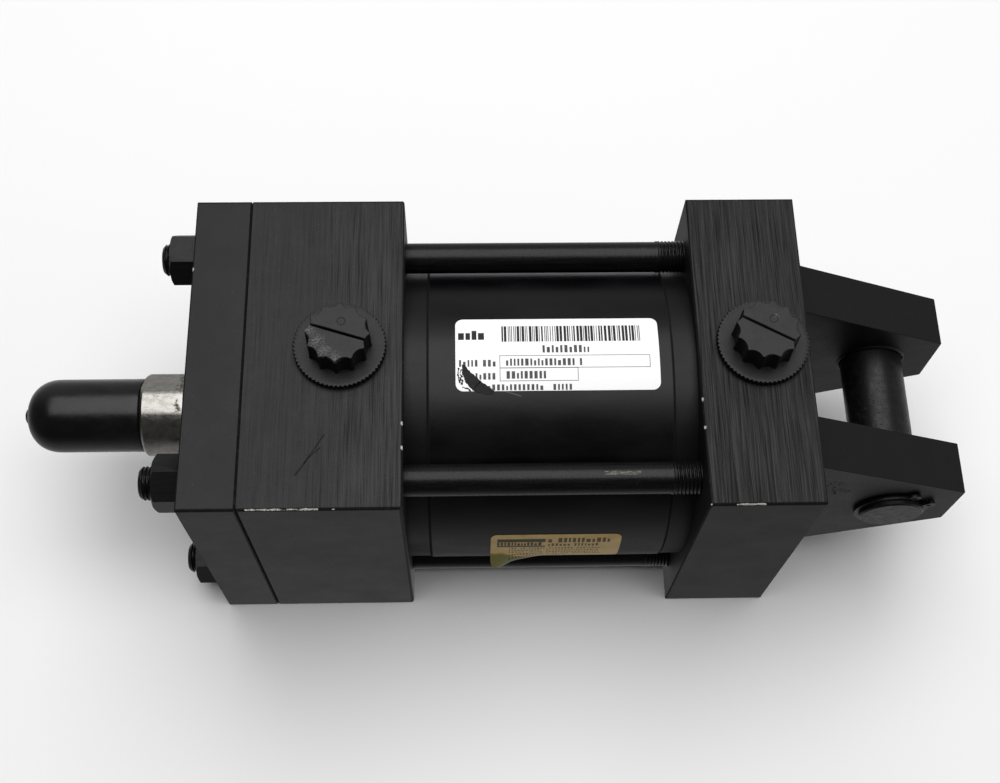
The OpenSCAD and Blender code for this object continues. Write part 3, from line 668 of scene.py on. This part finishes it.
def port_plug(node, body, slot_angle, material, dark):
    """Screw plug: tapered thread, toothed flange, scalloped grip with a slot and a mould mark."""
    low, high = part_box(node)
    x = (low.x + high.x) / 2
    flange_r = (high.x - low.x) / 2
    seat = half_side + 0.05 * MM
    face = seat + 2.2 * MM
    teeth = 64
    grip_r = 8.9 * MM
    slot_half = 0.4 * MM
    slot_floor = face + 1.6 * MM
    turn = math.radians(slot_angle)
    pitch = 1.814 * MM
    build = Build()

    fine = turns(96)
    rings = []
    stub = seat - low.z
    for along, radius in threaded(0.0, stub, 10.25 * MM, pitch, fine, fade1=2 * pitch, tip=0.8 * MM):
        taper = (stub - along) / 32

        def tapered(a, radius=radius, taper=taper):
            return radius(a) - taper
        rings.append(around_z(x, low.z + along, tapered, fine))
    rings.append(around_z(x, seat + 0.5 * MM, 10.1 * MM, fine))
    build.loft(rings)

    def toothed(shrink):
        def at(a):
            tooth = 0.5 + 0.5 * math.cos(teeth * a)
            return flange_r - shrink - 0.42 * MM * (1 - tooth) ** 2
        return at

    grip = scalloped(grip_r, 12, 3.0 * MM, 1.0 * MM, turn)

    def grown(extra):
        return lambda a: grip(a, extra * MM)

    top = high.z
    profile = [
        (seat, toothed(0.35 * MM)), (seat + 0.3 * MM, toothed(0.0)),
        (face - 0.40 * MM, toothed(0.0)), (face - 0.10 * MM, toothed(0.15 * MM)),
        (face, flange_r - 0.95 * MM), (face, flange_r - 1.10 * MM),
        (face, grown(0.36)), (face, grown(0.26)), (face + 0.12 * MM, grown(0.12)),
        (slot_floor, grown(0.08)), (top - 1.5 * MM, grown(0.02)),
        (top - 0.22 * MM, grip), (top - 0.07 * MM, grown(-0.06)),
        (top, grown(-0.22)), (top, grown(-0.36)),
    ]
    segments = turns(teeth * 6)
    build.loft([around_z(x, z, r, segments) for z, r in profile])
    piece = build.piece(node + "_moulded", material, body, "plug_plastic", (node,), sharp=40)

    cutter = Build()
    across = Vector((-math.sin(turn), math.cos(turn), 0.0))
    reach = Vector((math.cos(turn), math.sin(turn), 0.0)) * 2 * grip_r
    centre = Vector((x, 0.0, 0.0))
    ends = []
    for side in (-1, 1):
        ring = []
        for out, z in ((-1, slot_floor), (1, slot_floor), (1, top + MM), (-1, top + MM)):
            ring.append(centre + reach * side + across * slot_half * out + Vector((0, 0, z)))
        ends.append(ring)
    cutter.loft(ends)
    tool = cutter.piece(node + "_slot_tool", material, body, "plug_plastic")
    cut = piece.modifiers.new("slot", "BOOLEAN")
    cut.object = tool
    cut.operation = "DIFFERENCE"
    cut.solver = "EXACT"
    bpy.context.view_layer.update()
    cut_mesh = bpy.data.meshes.new_from_object(piece.evaluated_get(bpy.context.evaluated_depsgraph_get()))
    piece.modifiers.clear()
    piece.data = cut_mesh
    bpy.data.objects.remove(tool)

    mark = Build()
    middle = centre + across * 3.4 * MM
    ring_turns = turns(36)
    mark_r, sunk, lift = 1.25 * MM, -0.05 * MM, 0.06 * MM
    edge = [(mark_r, sunk), (mark_r - 0.05 * MM, lift), (mark_r - 0.25 * MM, lift),
            (mark_r - 0.30 * MM, sunk)]
    mark.loft([around_z(middle.x, top + h, r, ring_turns, middle.y) for r, h in edge], wrap=True)
    mark.piece(node + "_mould_mark", dark, body, "plug_plastic")
    dot = Build()
    rounded = [(0.34 * MM, sunk), (0.30 * MM, 0.6 * lift), (0.12 * MM, lift)]
    dot.loft([around_z(middle.x, top + h, r, ring_turns, middle.y) for r, h in rounded])
    dot.piece(node + "_mould_dot", material, body, "plug_plastic")
    return piece


# --- Labels ---

def skin(x0, x1, a0, a1, r0, r1, corner=0.0, bend=None, loose=0.0):
    """Thin plate wrapped on the barrel from angle a0 to a1, with round corners.

    loose is the radius of the corner at x0 and a1, if it is rounder than the others.
    """
    width = (a1 - a0) * r1
    loose = max(loose, corner)
    offsets = spread(0.0, width, 0.8 * MM)
    if corner:
        quarter = [1 - math.cos(t) for t in spread(0.0, math.pi / 2, math.radians(11))]
        offsets = [corner * q for q in quarter] + spread(corner, width - loose, 0.8 * MM)[1:-1]
        offsets += [width - loose * q for q in reversed(quarter)]

    def inset(v, radius):
        inward = max(0.0, radius - v)
        return radius - math.sqrt(max(0.0, radius ** 2 - inward ** 2))

    columns = max(1, round((x1 - x0) / (1.0 * MM if bend else 6 * MM)))
    rings = []
    for v in offsets:
        left = x0 + max(inset(v, corner), inset(width - v, loose))
        right = x1 - max(inset(v, corner), inset(width - v, corner))
        ring = []
        for r, order in ((r0, 1), (r1, -1)):
            for i in range(columns + 1)[::order]:
                x = left + (right - left) * i / columns
                a = a0 + v / r1
                out = r + (bend(x, a) if bend else 0.0)
                ring.append(Vector((x, out * math.cos(a), out * math.sin(a))))
        rings.append(ring)
    return rings


class Print:
    """Draws flat marks on a wrapped label. u runs along the barrel and v down it, in millimetres."""

    def __init__(self, left, a0, radius, bend=None):
        self.left = left
        self.a0 = a0
        self.radius = radius
        self.bend = bend
        self.sunk, self.proud = -0.03 * MM, 0.015 * MM
        self.build = Build()

    def bar(self, u0, u1, v0, v1):
        low, high = self.radius + self.sunk, self.radius + self.proud
        a0, a1 = (self.a0 + v * MM / self.radius for v in (v0, v1))
        x0, x1 = (self.left + u * MM for u in (u0, u1))
        self.build.loft(skin(x0, x1, a0, a1, low, high, bend=self.bend))

    def frame(self, u0, u1, v0, v1, line):
        self.bar(u0, u1, v0, v0 + line)
        self.bar(u0, u1, v1 - line, v1)
        self.bar(u0, u0 + line, v0 + line, v1 - line)
        self.bar(u1 - line, u1, v0 + line, v1 - line)

    def row(self, u0, u1, v0, v1, block, gap, chance, spaces=0.12):
        """A row of plain blocks, standing for a printed line without being lettering."""
        u = u0
        while u + block < u1:
            wide = block * (0.6 + 0.6 * chance.random())
            if chance.random() > spaces:
                drop = (v1 - v0) * (0.25 if chance.random() < 0.3 else 0.0)
                self.bar(u, u + wide, v0 + drop, v1)
            u += wide + gap

    def tear(self, path, widths, ragged, chance):
        """A ragged strip along a path of (u, v) points, with its width at each of them."""
        rings = []
        for start, end, wide0, wide1 in zip(path, path[1:], widths, widths[1:]):
            run = Vector(end) - Vector(start)
            side = Vector((-run.y, run.x)).normalized()
            for share in spread(0.0, 1.0, 0.35 / run.length)[:-1]:
                wide = wide0 + (wide1 - wide0) * share
                centre = Vector(start) + run * share
                sides = [s * (wide / 2 + ragged * chance.uniform(-1, 1)) for s in (-1, 1)]
                ring = []
                for off, lifts in zip(sides, ((self.sunk, self.proud), (self.proud, self.sunk))):
                    u, v = centre + side * off
                    a = self.a0 + v * MM / self.radius
                    for lift in lifts:
                        r = self.radius + lift
                        ring.append(Vector((self.left + u * MM, r * math.cos(a), r * math.sin(a))))
                rings.append(ring)
        self.build.loft(rings)


def id_label(white, black, grey, torn):
    """White part label: random bars, two boxes, rows of plain blocks, and a torn lower left corner with
    painted shade along its creases.
    """
    low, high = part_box("id_label")
    radius = barrel_r + 0.18 * MM
    a0 = math.acos(high.y / radius)
    a1 = math.acos(low.y / radius)
    build = Build()
    build.loft(skin(low.x, high.x, a0, a1, radius - 0.17 * MM, radius, 2.2 * MM))
    build.piece("part_label", white, "cylinder_body", "label_white", ("id_label",), sharp=60)

    chance = random.Random(7)
    a0 += 1.25 * MM / radius
    bars = Print(low.x, a0, radius)
    u = 13.1
    while u < 52.3:
        wide = chance.choice((0.22, 0.22, 0.45, 0.70))
        bars.bar(u, u + wide, 1.3, 6.5)
        u += wide + chance.choice((0.24, 0.24, 0.45))
    bars.row(0.8, 8.8, 2.8, 5.8, 1.55, 0.45, chance, 0.0)
    bars.build.piece("part_label_bars", black, "cylinder_body", "label_white")

    rows = Print(low.x, a0, radius)
    rows.frame(12.4, 54.9, 10.8, 14.6, 0.16)
    rows.frame(12.4, 34.5, 14.5, 18.4, 0.16)
    rows.row(24.6, 38.4, 7.7, 10.0, 0.75, 0.55, chance, 0.0)
    rows.row(14.2, 36.4, 11.8, 13.9, 0.80, 0.50, chance, 0.05)
    rows.row(14.3, 26.6, 15.5, 17.7, 0.80, 0.50, chance, 0.08)
    rows.row(1.0, 11.3, 12.1, 14.1, 0.70, 0.55, chance)
    rows.row(5.6, 11.2, 16.0, 17.9, 0.70, 0.55, chance)
    rows.row(7.8, 32.8, 19.3, 21.0, 0.75, 0.55, chance)
    rows.build.piece("part_label_rows", grey, "cylinder_body", "label_white")

    tear_and_shade_strips = Print(low.x, a0, radius)
    tear_and_shade_strips.proud = 0.03 * MM
    gash = ((2.1, 13.4), (2.8, 15.6), (4.2, 17.8), (6.2, 19.8), (8.8, 21.0), (11.0, 21.7))
    tear_and_shade_strips.tear(gash, (0.7, 2.1, 3.3, 3.5, 2.4, 0.6), 0.14, chance)
    # Dark strips along the creases of the torn corner are painted shade, drawn in the same black as the tear.
    crease_shades = (((0.9, 14.4), (0.7, 16.6), (1.4, 19.2)), ((1.7, 14.8), (1.2, 16.2), (2.1, 17.4)),
               ((1.0, 17.2), (2.0, 18.2), (1.6, 19.6)), ((1.9, 20.0), (3.4, 20.4), (4.4, 21.4)))
    for crease_shade in crease_shades:
        tear_and_shade_strips.tear(crease_shade, (0.4, 0.4, 0.4), 0.16, chance)
    tear_and_shade_strips.build.piece("part_label_tear_and_crease_shade", torn, "cylinder_body", "label_white")


def service_label(gold, header, brown):
    """Gold label with plain bands and blocks; its lower left corner has let go and stands out."""
    low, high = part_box("service_label")
    radius = barrel_r + 0.18 * MM
    a0 = math.pi - math.asin(high.z / radius)
    a1 = math.pi - math.asin(low.z / radius)
    fold_x = low.x + 16.5 * MM

    def ease(share):
        share = max(0.0, min(1.0, share))
        return share * share * (3 - 2 * share)

    def peel(x, a):
        """How far the film stands off the barrel, past the fold and near its lower edge."""
        past = fold_x - x
        down = ease(1 - (a1 - a) * radius / (6.5 * MM))
        return (1.3 * MM * ease(past / (10 * MM)) + 2.8 * MM * ease((past - 8 * MM) / (8 * MM))) * down

    build = Build()
    build.loft(skin(low.x, high.x, a0, a1, radius - 0.15 * MM, radius, 2.0 * MM, peel, 3.6 * MM))
    build.piece("service_label_film", gold, "cylinder_body", "label_gold", ("service_label",), sharp=60)

    chance = random.Random(11)
    plate = Print(low.x, a0, radius, peel)
    plate.bar(1.9, 16.1, 2.3, 4.3)
    plate.bar(1.9, 16.1, 7.0, 7.9)
    plate.row(1.9, 16.0, 4.5, 6.8, 0.8, 0.35, chance, 0.05)
    plate.build.piece("service_label_header", header, "cylinder_body", "label_gold")

    marks = Print(low.x, a0, radius, peel)
    marks.row(16.9, 36.5, 1.9, 4.7, 1.1, 0.5, chance, 0.08)
    marks.row(17.0, 33.0, 5.4, 7.4, 0.6, 0.5, chance)
    for line in range(5):
        top = 8.6 + 1.9 * line
        end = 33.0 if line < 4 else 24.0
        marks.row(5.5, end, top, top + 1.0, 0.5, 0.42, chance)
    marks.build.piece("service_label_print", brown, "cylinder_body", "label_gold")


# --- Small pieces ---

def paint_ridge(name, y, side, material):
    """Uneven bead of paint left round the pin where it leaves an ear's inner face."""
    pin_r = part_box("clevis_pin")[1].z
    hole_r = pin_r + 0.12 * MM
    chance = random.Random(5)
    bumps = [chance.uniform(-0.12, 0.12) * MM for _ in range(12)]
    rings = []
    for a in turns(72):
        place = a / TAU * len(bumps)
        near, share = int(place) % len(bumps), place % 1.0
        swell = bumps[near] * (1 - share) + bumps[(near + 1) % len(bumps)] * share
        notch = max(0.0, 1 - abs((a - 0.35 + math.pi) % TAU - math.pi) / 0.12)
        wide, tall = 0.95 * MM + swell, (0.55 * MM + swell) * (1 - 0.8 * notch)
        ring = []
        section = ((0.0, -0.05 * MM), (0.0, tall * 0.6), (wide * 0.35, tall),
                   (wide * 0.75, tall * 0.7), (wide, -0.05 * MM))
        for out, up in section:
            r = hole_r + out
            ring.append(Vector((r * math.cos(a), y + side * up, r * math.sin(a))))
        rings.append(ring)
    build = Build()
    build.loft(rings, wrap=True)
    build.piece(name, material, "cylinder_body", "block_paint", sharp=60)


# --- Putting it together ---

def dress(node, material, bevel=0.0):
    """Gives a CAD node its material, and rounds its sharp edges if a bevel width is given."""
    piece = nodes[node]
    piece.data.materials.clear()
    piece.data.materials.append(material)
    if bevel:
        weld = piece.modifiers.new("weld", "WELD")
        weld.merge_threshold = 1e-6
        edges = piece.modifiers.new("edges", "BEVEL")
        edges.width = bevel
        edges.segments = 2
        edges.limit_method = "ANGLE"
        edges.angle_limit = math.radians(28)
        edges.harden_normals = True


def finish_blocks():
    top = half_side
    dark, light = (0.0028, 0.0028, 0.0033), (0.0052, 0.0052, 0.0058)
    head_chips = [(head_x[1] - 18.2 * MM, -half_side, top)]
    head_chips += [(head_x[1], y * MM, top) for y in (-23.0, -30.0)]
    head_scratches = [
        ((-0.1745, -0.0374), (-0.1722, -0.0340), 0.45 * MM),
        ((-0.1722, -0.0340), (-0.1676, -0.0265), 0.40 * MM),
        ((-0.1712, -0.0326), (-0.1688, -0.0303), 0.35 * MM),
    ]
    milled_head = (head_x[1] - 30 * MM, head_x[1] - 12 * MM)
    dress("head", paint("head_black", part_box("head"), dark, light, 0.49, 0.65, milled_head, head_chips,
                        (head_x[0] + 3.0 * MM, head_x[0] + 22.0 * MM), head_scratches))
    cap_chips = [(cap_x[0], -half_side, top)] + [(cap_x[0], y * MM, top) for y in (-16.6, -25.0)]
    cap_run = (cap_x[0] + 7.3 * MM, cap_x[0] + 14.6 * MM)
    dark, light = (0.0012, 0.0012, 0.0016), (0.0026, 0.0026, 0.0031)
    dress("cap", paint("cap_black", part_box("cap"), dark, light, 0.56, 0.85,
                       chips=cap_chips, chip_run=cap_run))
    nick = [(plate_x[0], 0.0252, top), (plate_x[0] + 1.4 * MM, 0.0260, top)]
    dress("retainer_plate", paint("plate_black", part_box("retainer_plate"), dark, light, 0.48, chips=nick))
    front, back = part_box("clevis_ear_front"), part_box("clevis_ear_back")
    pits = [(cap_x[1] + d * MM, front[0].y, z * MM) for d, z in ((10.0, 19.7), (14.2, 14.3), (11.4, 13.5))]
    dark, light = (0.0012, 0.0012, 0.0014), (0.0026, 0.0026, 0.0029)
    dress("clevis_ear_front", paint("front_ear_black", front, dark, light, 0.50, pits=pits), 0.35 * MM)
    dress("clevis_ear_back", paint("back_ear_black", back, dark, light, 0.50), 0.35 * MM)


def finish_fastenings():
    plain = oxide("tie_black")
    low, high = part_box("tie_rod_upper_front")
    rod_y, rod_z = (low.y + high.y) / 2, (low.z + high.z) / 2 + 4.5 * MM
    chipped = oxide("tie_black_chipped", (cap_x[0] - 27.0 * MM, cap_x[0] - 17.4 * MM, rod_y, rod_z))
    for place in ("upper_back", "lower_front", "lower_back"):
        tie_rod("tie_rod_" + place, plain)
    tie_rod("tie_rod_upper_front", chipped)
    nut_black = oxide("nut_black", rough=0.38, dark=0.0016, light=0.0042)
    for place in ("upper_back", "upper_front", "lower_front", "lower_back"):
        dress("tie_nut_" + place, nut_black, 0.25 * MM)
    dress("clevis_pin", pin_steel())
    ring_black = oxide("ring_black", rough=0.36)
    for place in ("front", "back"):
        dress("pin_ring_" + place, ring_black, 0.12 * MM)


def finish_inside():
    dress("rod_gland", turned("gland_bronze", (0.34, 0.20, 0.07), (0.52, 0.33, 0.13), 0.34, 0.95))
    rubber = turned("seal_rubber", (0.006, 0.006, 0.006), (0.016, 0.016, 0.016), 0.55, 0.0)
    seals = ("rod_wiper", "rod_seal", "gland_oring", "tube_seal_head", "tube_seal_cap", "piston_oring",
             "piston_seal_front", "piston_seal_rear")
    for node in seals:
        dress(node, rubber)
    dress("piston", turned("piston_alloy", (0.55, 0.55, 0.56), (0.72, 0.72, 0.73), 0.32, 0.95))
    dress("piston_wear_band", turned("band_brown", (0.16, 0.09, 0.04), (0.26, 0.15, 0.07), 0.5, 0.0))
    dress("piston_nut", turned("nut_steel", (0.30, 0.29, 0.28), (0.46, 0.45, 0.44), 0.38, 0.95))


def finish_labels():
    id_label(white_film(), ink("black_ink", (0.010, 0.010, 0.010), (0.030, 0.030, 0.030)),
             ink("grey_ink", (0.045, 0.045, 0.048), (0.13, 0.13, 0.13)),
             ink("torn_black_and_crease_shade", (0.0018, 0.0018, 0.0020), (0.0045, 0.0045, 0.0050)))
    service_label(gold_film(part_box("service_label")[0]),
                  ink("olive_ink", (0.040, 0.034, 0.018), (0.066, 0.055, 0.028)),
                  ink("brown_ink", (0.055, 0.036, 0.012), (0.130, 0.085, 0.032)))


def finish_plugs():
    for node, body, slot_angle in (("head_port_plug", "head_plug", -18), ("cap_port_plug", "cap_plug", -29)):
        low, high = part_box(node)
        x = (low.x + high.x) / 2
        places = ((-7.8, 0.8), (-5.5, -2.5), (-3.4, -5.4), (-0.6, -7.8))
        if body == "cap_plug":
            places = ((2.4, 3.8),)
        scuffs = [(x + dx * MM, dy * MM, high.z) for dx, dy in places]
        material = moulded_black(node + "_black", scuffs, x, math.radians(slot_angle))
        port_plug(node, body, slot_angle, material, ink(node + "_mark_black", (0.0010,) * 3, (0.0030,) * 3))


def floor():
    """Pale floor under the blocks, left out of reflections so that the black faces stay black."""
    half = 20.0
    corners = ((-half, -half), (half, -half), (half, half), (-half, half))
    build = Build()
    build.loft([[Vector((x, y, z)) for x, y in corners] for z in (floor_z - 2 * MM, floor_z)])
    bmesh.ops.recalc_face_normals(build.mesh, faces=build.mesh.faces)
    data = bpy.data.meshes.new("floor")
    build.mesh.to_mesh(data)
    build.mesh.free()
    f = Finish("pale_floor", 0.7, level=0.2)
    f.set("Base Color", f.mix(f.noise(0.6, 2.0), (0.94, 0.94, 0.94), (0.96, 0.96, 0.96)))
    data.materials.append(f.material)
    ground = bpy.data.objects.new("floor", data)
    ground.visible_glossy = False
    bpy.context.scene.collection.objects.link(ground)


def soft_box(name, centre, size, radiance):
    """Rectangular area light facing straight down."""
    data = bpy.data.lights.new(name, "AREA")
    data.shape = "RECTANGLE"
    data.size, data.size_y = size
    data.energy = radiance * size[0] * size[1] * math.pi
    light = bpy.data.objects.new(name, data)
    bpy.context.scene.collection.objects.link(light)
    light.location = centre


def studio():
    """Large overhead soft box behind the middle, in a dim room lighter at its back and right."""
    middle = Vector(((cap_x[1] + plate_x[0]) / 2, 0.0, 0.0))
    soft_box("overhead", middle + Vector((0.0, 0.32, 1.20)), (1.30, 1.37), 3.2)
    world = bpy.data.worlds.new("room")
    bpy.context.scene.world = world
    world.use_nodes = True
    room = Graph(world.node_tree)
    direction = room.add("TexCoord", {}).outputs["Generated"]
    axes = room.add("SeparateXYZ", {0: direction}).outputs
    walls = room.step(room.larger(axes[X], axes[Y]), 0.25, 0.9, 0.0, 0.42)
    below = room.step(room.math("MULTIPLY", axes[Z], -1.0), 0.05, 0.75, 0.0, 0.38)
    light = room.plus(room.plus(walls, below), 0.09)
    background = room.tree.nodes["Background"]
    background.inputs["Color"].default_value = (1.0, 1.0, 1.0, 1.0)
    room.tree.links.new(light, background.inputs["Strength"])
    bpy.context.scene.view_settings.view_transform = "Standard"


def camera():
    """Camera at the photograph's angle: azimuth and elevation of its line of sight, and its roll."""
    azimuth, elevation, roll = (math.radians(a) for a in (4.002, 66.418, 3.138))
    forward = Vector((math.sin(azimuth) * math.cos(elevation), math.cos(azimuth) * math.cos(elevation),
                      -math.sin(elevation)))
    right = Vector((math.cos(azimuth), -math.sin(azimuth), 0.0))
    up = right.cross(forward)
    rolled_right = right * math.cos(roll) + up * math.sin(roll)
    rolled_up = up * math.cos(roll) - right * math.sin(roll)
    data = bpy.data.cameras.new("camera")
    data.sensor_width = 36.0
    data.lens = 50.39
    data.clip_start, data.clip_end = 0.01, 60.0
    view = bpy.data.objects.new("camera", data)
    bpy.context.scene.collection.objects.link(view)
    turn = view.matrix_world.to_3x3()
    for row in range(3):
        turn[row] = (rolled_right[row], rolled_up[row], -forward[row])
    view.matrix_world = turn.to_4x4()
    view.location = (-0.13009, -0.16794, 0.40156)
    bpy.context.scene.camera = view


finish_blocks()
dress("barrel", barrel_paint())
finish_fastenings()
finish_inside()
piston_rod(plated_steel())
thread_cap(vinyl())
finish_plugs()
finish_labels()
ridge_black = oxide("ridge_black", rough=0.45, dark=0.0010, light=0.0022)
paint_ridge("pin_paint_ridge_back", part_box("clevis_ear_back")[0].y, -1, ridge_black)
paint_ridge("pin_paint_ridge_front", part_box("clevis_ear_front")[1].y, 1, ridge_black)
floor()
studio()
camera()
